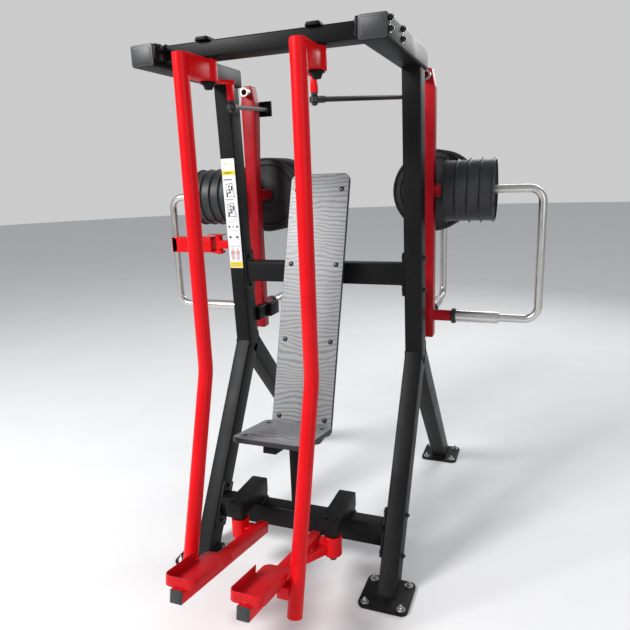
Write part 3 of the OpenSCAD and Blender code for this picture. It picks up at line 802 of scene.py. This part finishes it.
def remap(tree, value, low, high, to_low=0.0, to_high=1.0):
    return node(tree, "MapRange", {"Value": value, "From Min": low, "From Max": high,
                                   "To Min": to_low, "To Max": to_high}).outputs["Result"]


def mixed(tree, factor, a, b):
    n = node(tree, "Mix", {0: factor, 6: a, 7: b}, data_type="RGBA")
    return n.outputs[2]


def blotches_group():
    """Two sizes of noise: wide patches, and fine grain that is a height too."""
    g, i, o = new_group("blotches",
                        [("Vector", "Vector", None), ("Wide", "Float", 6.0), ("Fine", "Float", 300.0)],
                        [("Patches", "Float"), ("Grain", "Float"), ("Height", "Float")])
    wide = node(g, "TexNoise", {"Vector": i["Vector"], "Scale": i["Wide"], "Detail": 4.0, "Roughness": 0.6})
    fine = node(g, "TexNoise", {"Vector": i["Vector"], "Scale": i["Fine"], "Detail": 3.0,
                                "Roughness": 0.55})
    g.links.new(remap(g, wide.outputs["Fac"], 0.32, 0.68), o["Patches"])
    g.links.new(remap(g, fine.outputs["Fac"], 0.25, 0.75), o["Grain"])
    g.links.new(fine.outputs["Fac"], o["Height"])
    return g


def settled_dust_group():
    """Dust that lies on faces that look up and near the ground, broken up by noise."""
    g, i, o = new_group("settled_dust",
                        [("Vector", "Vector", None), ("Reach", "Float", 0.25), ("Amount", "Float", 0.5)],
                        [("Mask", "Float")])
    place = node(g, "SeparateXYZ", {0: i["Vector"]}).outputs["Z"]
    up = node(g, "SeparateXYZ", {0: node(g, "NewGeometry").outputs["Normal"]}).outputs["Z"]
    low = math_of(g, "SUBTRACT", 1.0, math_of(g, "DIVIDE", place, i["Reach"]), clamp=True)
    flat = remap(g, up, 0.75, 1.0, 0.0, 0.55)
    noise = node(g, "TexNoise", {"Vector": i["Vector"], "Scale": 22.0, "Detail": 6.0, "Roughness": 0.7})
    broken = remap(g, noise.outputs["Fac"], 0.38, 0.72)
    both = math_of(g, "MAXIMUM", low, flat)
    g.links.new(math_of(g, "MULTIPLY", math_of(g, "MULTIPLY", both, broken), i["Amount"]), o["Mask"])
    return g


def scratches_group():
    """Thin light scratches: the zero lines of two stretched noises, kept in patches."""
    g, i, o = new_group("scratches", [("Vector", "Vector", None), ("Scale", "Float", 9.0)],
                        [("Mask", "Float")])
    masks = []
    for turn, stretch in ((0.5, (1.0, 5.0, 2.0)), (-0.9, (4.0, 1.0, 1.5))):
        spin = node(g, "Mapping", {"Vector": i["Vector"], "Rotation": (turn, turn * 0.6, turn),
                                   "Scale": stretch})
        n = node(g, "TexNoise", {"Vector": spin.outputs[0], "Scale": i["Scale"], "Detail": 1.0})
        off = math_of(g, "ABSOLUTE", math_of(g, "SUBTRACT", n.outputs["Fac"], 0.5))
        masks.append(remap(g, off, 0.0, 0.0035, 1.0, 0.0))
    patch = node(g, "TexNoise", {"Vector": i["Vector"], "Scale": 14.0, "Detail": 2.0})
    keep = remap(g, patch.outputs["Fac"], 0.52, 0.66)
    g.links.new(math_of(g, "MULTIPLY", math_of(g, "MAXIMUM", *masks), keep, clamp=True), o["Mask"])
    return g


def brushed_group():
    """Fine lines along the grain's z: noise whose vector is squeezed 40 times along z."""
    g, i, o = new_group("brushed", [("Vector", "Vector", None), ("Scale", "Float", 700.0)],
                        [("Lines", "Float"), ("Height", "Float")])
    v = node(g, "Mapping", {"Vector": i["Vector"], "Scale": (1.0, 1.0, 0.025)})
    n = node(g, "TexNoise", {"Vector": v.outputs[0], "Scale": i["Scale"], "Detail": 2.0, "Roughness": 0.6})
    g.links.new(remap(g, n.outputs["Fac"], 0.3, 0.7), o["Lines"])
    g.links.new(n.outputs["Fac"], o["Height"])
    return g


def wood_figure_group():
    """Printed wood with its grain across the board: dark lines where sin(400 z + 42 warp) dips,
    the warp being a slow noise, and short fibres stretched along x."""
    g, i, o = new_group("wood_figure", [("Vector", "Vector", None)],
                        [("Figure", "Float"), ("Pores", "Float")])
    slow = node(g, "Mapping", {"Vector": i["Vector"], "Scale": (3.2, 3.2, 6.5)})
    warp = node(g, "TexNoise", {"Vector": slow.outputs[0], "Scale": 1.0, "Detail": 3.0, "Roughness": 0.45})
    height = node(g, "SeparateXYZ", {0: i["Vector"]}).outputs["Z"]
    sway = math_of(g, "MULTIPLY", warp.outputs["Fac"], 42.0)
    phase = math_of(g, "ADD", math_of(g, "MULTIPLY", height, 400.0), sway)
    bands = math_of(g, "SINE", phase)
    fine = node(g, "Mapping", {"Vector": i["Vector"], "Scale": (22.0, 22.0, 420.0)})
    pores = node(g, "TexNoise", {"Vector": fine.outputs[0], "Scale": 1.0, "Detail": 3.0, "Roughness": 0.7})
    g.links.new(remap(g, bands, -1.0, 0.1, 1.0, 0.0), o["Figure"])
    g.links.new(remap(g, pores.outputs["Fac"], 0.5, 0.66), o["Pores"])
    return g


BLOTCHES, DUST, SCRATCHES = blotches_group(), settled_dust_group(), scratches_group()
BRUSHED, WOOD = brushed_group(), wood_figure_group()


# ---------------------------------------------------------------- materials
def material(name):
    """A new material: its node tree, its Principled shader, and the vector of Object coordinates."""
    m = bpy.data.materials.new(name)
    m.use_nodes = True
    tree = m.node_tree
    shader = next(n for n in tree.nodes if n.type == "BSDF_PRINCIPLED")
    return m, tree, shader, node(tree, "TexCoord").outputs["Object"]


def grain_of(tree):
    return node(tree, "Attribute", attribute_name="grain").outputs["Vector"]


def placed(tree, group, **inputs):
    n = tree.nodes.new("ShaderNodeGroup")
    n.node_tree = group
    for key, value in inputs.items():
        if isinstance(value, bpy.types.NodeSocket):
            tree.links.new(value, n.inputs[key])
        else:
            n.inputs[key].default_value = value
    return n.outputs


def bumped(tree, shader, height, strength, distance):
    bump = node(tree, "Bump", {"Height": height, "Strength": strength, "Distance": distance})
    tree.links.new(bump.outputs["Normal"], shader.inputs["Normal"])


def powder_coat(name, dark, light, rough, coat, dust=0.35, scratched=0.0, specular=0.5):
    """Powder coat over steel: faint patches in the colour, orange-peel, dust and scuffs."""
    m, t, p, v = material(name)
    b = placed(t, BLOTCHES, Vector=v, Wide=5.0, Fine=520.0)
    colour = mixed(t, b["Patches"], (*dark, 1), (*light, 1))
    marks = placed(t, SCRATCHES, Vector=v, Scale=9.0)["Mask"]
    if scratched:
        pale = tuple(0.5 * c + 0.16 for c in light)
        colour = mixed(t, math_of(t, "MULTIPLY", marks, scratched), colour, (*pale, 1))
    veil = placed(t, DUST, Vector=v, Reach=0.22, Amount=dust)["Mask"]
    colour = mixed(t, veil, colour, (0.20, 0.19, 0.17, 1))
    t.links.new(colour, p.inputs["Base Color"])
    base = remap(t, b["Patches"], 0.0, 1.0, rough - 0.05, rough + 0.06)
    base = math_of(t, "ADD", base, math_of(t, "MULTIPLY", b["Grain"], 0.05))
    dulled = math_of(t, "MULTIPLY", veil, 0.3)
    t.links.new(math_of(t, "ADD", base, dulled, clamp=True), p.inputs["Roughness"])
    p.inputs["Specular IOR Level"].default_value = specular
    p.inputs["Coat Weight"].default_value = coat
    p.inputs["Coat Roughness"].default_value = 0.16
    bumped(t, p, b["Height"], 0.12, 0.0006)
    return m


def stainless(name, colour, rough):
    """Brushed tube: lines along the grain in colour, roughness and height, and wide soft stains."""
    m, t, p, v = material(name)
    g = grain_of(t)
    lines = placed(t, BRUSHED, Vector=g, Scale=620.0)
    b = placed(t, BLOTCHES, Vector=v, Wide=9.0, Fine=900.0)
    dark = tuple(c * 0.74 for c in colour)
    tone = mixed(t, lines["Lines"], (*dark, 1), (*colour, 1))
    stain = math_of(t, "MULTIPLY", b["Patches"], 0.28)
    tone = mixed(t, stain, tone, (colour[0] * 0.72, colour[1] * 0.68, colour[2] * 0.6, 1))
    t.links.new(tone, p.inputs["Base Color"])
    p.inputs["Metallic"].default_value = 1.0
    r = remap(t, lines["Lines"], 0.0, 1.0, rough - 0.06, rough + 0.08)
    t.links.new(math_of(t, "ADD", r, math_of(t, "MULTIPLY", b["Patches"], 0.08)), p.inputs["Roughness"])
    bumped(t, p, lines["Height"], 0.12, 0.0003)
    return m


def zinc(name):
    """Zinc plate: crystals a few millimetres wide that differ in tone and gloss."""
    m, t, p, v = material(name)
    cells = node(t, "TexVoronoi", {"Vector": v, "Scale": 420.0})
    tone = node(t, "SeparateXYZ", {0: cells.outputs["Color"]}).outputs["X"]
    b = placed(t, BLOTCHES, Vector=v, Wide=40.0, Fine=1200.0)
    colour = mixed(t, tone, (0.42, 0.42, 0.41, 1), (0.66, 0.66, 0.64, 1))
    colour = mixed(t, math_of(t, "MULTIPLY", b["Patches"], 0.35), colour, (0.30, 0.28, 0.25, 1))
    t.links.new(colour, p.inputs["Base Color"])
    p.inputs["Metallic"].default_value = 1.0
    t.links.new(remap(t, tone, 0.0, 1.0, 0.28, 0.44), p.inputs["Roughness"])
    bumped(t, p, b["Height"], 0.15, 0.0003)
    return m


def moulded_rubber(name, dark, light, rough, texture=0.5):
    """Moulded rubber: a pebbled skin 1.5 mm across, paler where it is rubbed, and dusty on top."""
    m, t, p, v = material(name)
    b = placed(t, BLOTCHES, Vector=v, Wide=11.0, Fine=420.0)
    pebbles = node(t, "TexVoronoi", {"Vector": v, "Scale": 340.0}, feature="SMOOTH_F1")
    colour = mixed(t, b["Patches"], (*dark, 1), (*light, 1))
    rubbed = (*(c * 1.9 for c in light), 1)
    colour = mixed(t, math_of(t, "MULTIPLY", b["Grain"], 0.35), colour, rubbed)
    veil = placed(t, DUST, Vector=v, Reach=0.1, Amount=0.35)["Mask"]
    t.links.new(mixed(t, veil, colour, (0.22, 0.21, 0.2, 1)), p.inputs["Base Color"])
    t.links.new(remap(t, b["Patches"], 0.0, 1.0, rough - 0.07, rough + 0.07), p.inputs["Roughness"])
    height = math_of(t, "ADD", pebbles.outputs["Distance"], math_of(t, "MULTIPLY", b["Height"], 0.6))
    bumped(t, p, height, texture, 0.0008)
    return m


def laminate_face(name):
    """The boards' decor face: printed grey wood with its grain up the board, under clear resin."""
    m, t, p, v = material(name)
    turned_up = node(t, "Mapping", {"Vector": v, "Rotation": (math.radians(-BACK_DEG), 0, 0)}).outputs[0]
    w = placed(t, WOOD, Vector=turned_up)
    b = placed(t, BLOTCHES, Vector=v, Wide=4.0, Fine=700.0)
    colour = mixed(t, w["Figure"], (0.30, 0.305, 0.31, 1), (0.15, 0.15, 0.155, 1))
    colour = mixed(t, math_of(t, "MULTIPLY", w["Pores"], 0.45), colour, (0.16, 0.162, 0.166, 1))
    colour = mixed(t, math_of(t, "MULTIPLY", b["Patches"], 0.3), colour, (0.42, 0.43, 0.435, 1))
    t.links.new(colour, p.inputs["Base Color"])
    t.links.new(remap(t, w["Pores"], 0.0, 1.0, 0.38, 0.52), p.inputs["Roughness"])
    bumped(t, p, math_of(t, "SUBTRACT", 1.0, w["Pores"]), 0.12, 0.0003)
    return m


def plastic(name, colour, rough, fine=900.0, strength=0.2, coat=0.0):
    """Moulded plastic or print: a faint change of tone, fine texture and uneven gloss."""
    m, t, p, v = material(name)
    b = placed(t, BLOTCHES, Vector=v, Wide=16.0, Fine=fine)
    low = tuple(c * 0.86 for c in colour)
    t.links.new(mixed(t, b["Patches"], (*low, 1), (*colour, 1)), p.inputs["Base Color"])
    t.links.new(remap(t, b["Grain"], 0.0, 1.0, rough - 0.05, rough + 0.07), p.inputs["Roughness"])
    p.inputs["Coat Weight"].default_value = coat
    bumped(t, p, b["Height"], strength, 0.0004)
    return m


BLACK_PAINT = powder_coat("black_powder_coat", (0.0035, 0.0036, 0.0040), (0.0065, 0.0067, 0.0072),
                          0.42, 0.0, dust=0.05, specular=0.16)
RED_PAINT = powder_coat("red_powder_coat", (0.62, 0.0025, 0.006), (0.72, 0.004, 0.009),
                        0.33, 0.03, dust=0.0, specular=0.16)
TRAY_PAINT = powder_coat("red_paint_walked_on", (0.52, 0.004, 0.009), (0.64, 0.007, 0.014),
                         0.38, 0.03, dust=0.15, scratched=0.35, specular=0.18)
# The weight arms' red is the red paint at about half its brightness: painted shade for the arms, which
# stand in shade behind the posts and discs.
RED_PAINT_IN_SHADE = powder_coat("red_powder_coat_painted_shade", (0.30, 0.003, 0.008), (0.40, 0.005, 0.011),
                       0.34, 0.03, dust=0.0, specular=0.16)
STEEL = stainless("brushed_stainless", (0.70, 0.69, 0.67), 0.25)
BRIGHT = stainless("turned_steel", (0.68, 0.68, 0.66), 0.2)
BLACK_STEEL = powder_coat("blackened_steel", (0.009, 0.009, 0.010), (0.018, 0.018, 0.020),
                          0.34, 0.05, dust=0.08)
ZINC = zinc("zinc_plated")
RING_RUBBER = moulded_rubber("ring_rubber", (0.009, 0.009, 0.010), (0.016, 0.016, 0.017), 0.55, 0.3)
DISC_RUBBER = moulded_rubber("disc_rubber", (0.007, 0.0074, 0.0085), (0.015, 0.016, 0.018), 0.52, 0.35)
DECOR = laminate_face("grey_wood_decor")
CORE = plastic("laminate_core", (0.018, 0.018, 0.019), 0.42, 1100.0, 0.3)
CAP_PLASTIC = plastic("cap_plastic", (0.030, 0.031, 0.033), 0.45, 700.0, 0.35)
PAPER = plastic("sign_white", (0.80, 0.81, 0.82), 0.3, 500.0, 0.04, 0.3)
YELLOW = plastic("sign_yellow", (0.78, 0.62, 0.015), 0.3, 500.0, 0.04, 0.3)
INK = plastic("sign_ink", (0.03, 0.032, 0.036), 0.35, 500.0, 0.04, 0.3)
FAINT = plastic("sign_grey", (0.42, 0.43, 0.44), 0.35, 500.0, 0.04, 0.3)
ROSE = plastic("sign_rose", (0.62, 0.30, 0.28), 0.35, 500.0, 0.04, 0.3)


# ---------------------------------------------------------------- fitting the pieces
def fit(name, surface, body, nodes, materials, mirrored=False):
    obj = surface.make(name, mirrored)
    for m in materials:
        obj.data.materials.append(m)
    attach(obj, body)
    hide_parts(*nodes)
    return obj


def fit_both(name, surface, body, node_stem, materials):
    """The piece on the right and its mirror image on the left; {} in body stands for the side."""
    for side in ("right", "left"):
        fit(f"{name}_{side}", surface, body.format(side), [f"{node_stem}_{side}"], materials,
            mirrored=side == "left")


fit_both("post_and_legs", side_frame(), "frame", "side_frame", [BLACK_PAINT])
fit_both("top_side_beam", side_beam(), "frame", "side_beam", [BLACK_PAINT])
fit("beam_end_caps", beam_caps(), "frame", ["beam_caps"], [CAP_PLASTIC])
fit("front_top_beam", crossbeam(-540, 2220, 100, 60, 398, 225, 58), "frame",
    ["front_crossbeam"], [BLACK_PAINT])
fit("middle_beam", crossbeam(19, 1290, 80, 100, 408, 90, 200), "frame",
    ["mid_crossbeam"], [BLACK_PAINT])
fit("low_beam", crossbeam(-395, 205, 80, 100, 408.3, 90, 210, -31.4), "frame",
    ["lower_crossbeam"], [BLACK_PAINT])
fit("frame_bolt_set", frame_bolts(), "frame", ["frame_bolts"], [BLACK_STEEL])
fit("floor_anchor_set", floor_anchors(), "frame", ["floor_anchors"], [ZINC])
fit_both("top_hinge_pin", upper_pivot(), "frame", "upper_pivot", [BLACK_PAINT])
fit_both("low_hinge_block", lower_pivot(), "frame", "lower_pivot", [BLACK_PAINT])
fit_both("arm_bearing_block", arm_bearing(), "frame", "arm_bearing", [BLACK_PAINT])
fit("board_support", seat_support(), "frame", ["seat_frame"], [BLACK_PAINT])
back_at, seat_at = back_frame(), seat_frame_axes()
fit("back_board", board(inside(back_at, 0, 607.5, -20), 292, 1215, 20, 32), "frame",
    ["backrest_board"], [DECOR, CORE])
fit("seat_panel", board(inside(seat_at, 0, -175, -20), 330, 350, 20, 36), "frame",
    ["seat_board"], [DECOR, CORE])
fit("board_bolt_set", board_bolts(), "frame", ["board_bolts"], [BLACK_STEEL])
fit("guide_sign", sign_plate(), "frame", ["sign_plate"], [PAPER, YELLOW, INK, FAINT, ROSE])

fit_both("hand_lever", lever(), "gate_{}", "lever", [RED_PAINT])
fit_both("hinge_bracket", upper_bracket(), "gate_{}", "upper_bracket", [RED_PAINT])
fit_both("crank_bolt", crank_pin(), "gate_{}", "crank_pin", [BLACK_STEEL])
fit_both("foot_bar", foot_arm(), "gate_{}", "foot_arm", [RED_PAINT])
fit_both("shoe_tray", foot_tray(), "gate_{}", "foot_tray", [TRAY_PAINT])
fit_both("foot_bar_cap", foot_cap(), "gate_{}", "foot_cap", [CAP_PLASTIC])
fit_both("lever_link_bolts", link_bolts(), "gate_{}", "link_bolts", [ZINC])
fit_both("link_rod", pull_rod(), "rod_{}", "pull_rod", [BLACK_STEEL])

# The tall arm takes the red paint darkened as painted shade, and black for its lug plates.
fit_both("tall_weight_arm", tall_arm(), "weights_{}", "weight_arm",
         [RED_PAINT_IN_SHADE, BLACK_PAINT])
fit_both("arm_top_tube", stop_tube(), "weights_{}", "stop_tube", [BRIGHT])
fit_both("side_guide_loop", guide_loop(False, SIDE_COLLAR), "weights_{}",
         "side_loop", [STEEL])
fit_both("rear_guide_loop", guide_loop(True, REAR_COLLAR), "weights_{}",
         "rear_loop", [STEEL])
fit_both("loop_rubber_rings", loop_rings(), "weights_{}", "loop_rings", [RING_RUBBER])
fit("loop_side_brace", loop_brace(), "weights_left", ["loop_brace_left"], [RED_PAINT],
    mirrored=True)
fit_both("small_discs", disc_stack(False, SIDE_COLLAR, 4, *SMALL_DISC), "side_stack_{}",
         "side_discs", [DISC_RUBBER, BRIGHT])
fit_both("large_discs", disc_stack(True, REAR_COLLAR, 5, *LARGE_DISC), "rear_stack_{}",
         "rear_discs", [DISC_RUBBER, BRIGHT])


# ---------------------------------------------------------------- floor, light, camera
def floor_plane():
    """A flat round sheet of pale floor, half a millimetre under the feet."""
    radius, sides = 30.0, 64
    m, t, p, v = material("pale_floor")
    b = placed(t, BLOTCHES, Vector=v, Wide=2.0, Fine=60.0)
    tone = mixed(t, b["Patches"], (0.88, 0.88, 0.88, 1), (0.91, 0.91, 0.91, 1))
    t.links.new(tone, p.inputs["Base Color"])
    p.inputs["Roughness"].default_value = 0.85
    a = np.arange(sides) * 2 * math.pi / sides
    co = np.c_[radius * np.cos(a), radius * np.sin(a), np.full(sides, -0.0005)]
    mesh = bpy.data.meshes.new("floor")
    mesh.from_pydata(co, [], [list(range(sides))])
    mesh.materials.append(m)
    obj = bpy.data.objects.new("floor", mesh)
    bpy.context.scene.collection.objects.link(obj)


def softbox(name, at, aim, size, power, colour=(1, 1, 1)):
    light = bpy.data.lights.new(name, "AREA")
    light.shape, light.size, light.size_y, light.energy, light.color = "RECTANGLE", *size, power, colour
    obj = bpy.data.objects.new(name, light)
    obj.location = at
    obj.rotation_euler = (Vector(aim) - Vector(at)).to_track_quat("-Z", "Y").to_euler()
    bpy.context.scene.collection.objects.link(obj)


def camera():
    yaw, pitch, roll = (math.radians(a) for a in (21.46, 13.17, -2.19))
    ahead = np.array([-math.sin(yaw) * math.cos(pitch), math.cos(yaw) * math.cos(pitch), -math.sin(pitch)])
    level = np.array([math.cos(yaw), math.sin(yaw), 0.0])
    top = np.cross(level, ahead)
    right = math.cos(roll) * level + math.sin(roll) * top
    up = -math.sin(roll) * level + math.cos(roll) * top
    cam = bpy.data.cameras.new("camera")
    cam.sensor_width, cam.lens = 36.0, 33.92
    obj = bpy.data.objects.new("camera", cam)
    turn = Matrix(np.stack([right, up, -ahead], 1).tolist()).to_4x4()
    obj.matrix_world = Matrix.Translation((1.002, -2.529, 1.745)) @ turn
    bpy.context.scene.collection.objects.link(obj)
    bpy.context.scene.camera = obj


floor_plane()
softbox("key_left", (-3.4, -4.4, 4.8), (0, 0, 1.1), (2.0, 2.0), 430)
softbox("front_right", (3.8, -3.4, 2.6), (0, 0, 1.2), (2.5, 3.0), 40)
softbox("back_rim", (1.5, 4.5, 3.8), (0, 0, 1.3), (3.0, 2.0), 90)
world = bpy.data.worlds.new("studio")
world.use_nodes = True
sky = world.node_tree
dim = sky.nodes["Background"]
dim.inputs["Color"].default_value = (0.93, 0.96, 1.0, 1)
dim.inputs["Strength"].default_value = 0.42
backdrop = node(sky, "Background", {"Color": (1, 1, 1, 1), "Strength": 0.6})
seen = node(sky, "MixShader", {0: node(sky, "LightPath").outputs["Is Camera Ray"], 1: dim.outputs[0],
                               2: backdrop.outputs[0]})
sky.links.new(seen.outputs[0], sky.nodes["World Output"].inputs["Surface"])
bpy.context.scene.world = world
bpy.context.scene.view_settings.view_transform = "Standard"
camera()

bpy.context.view_layer.update()
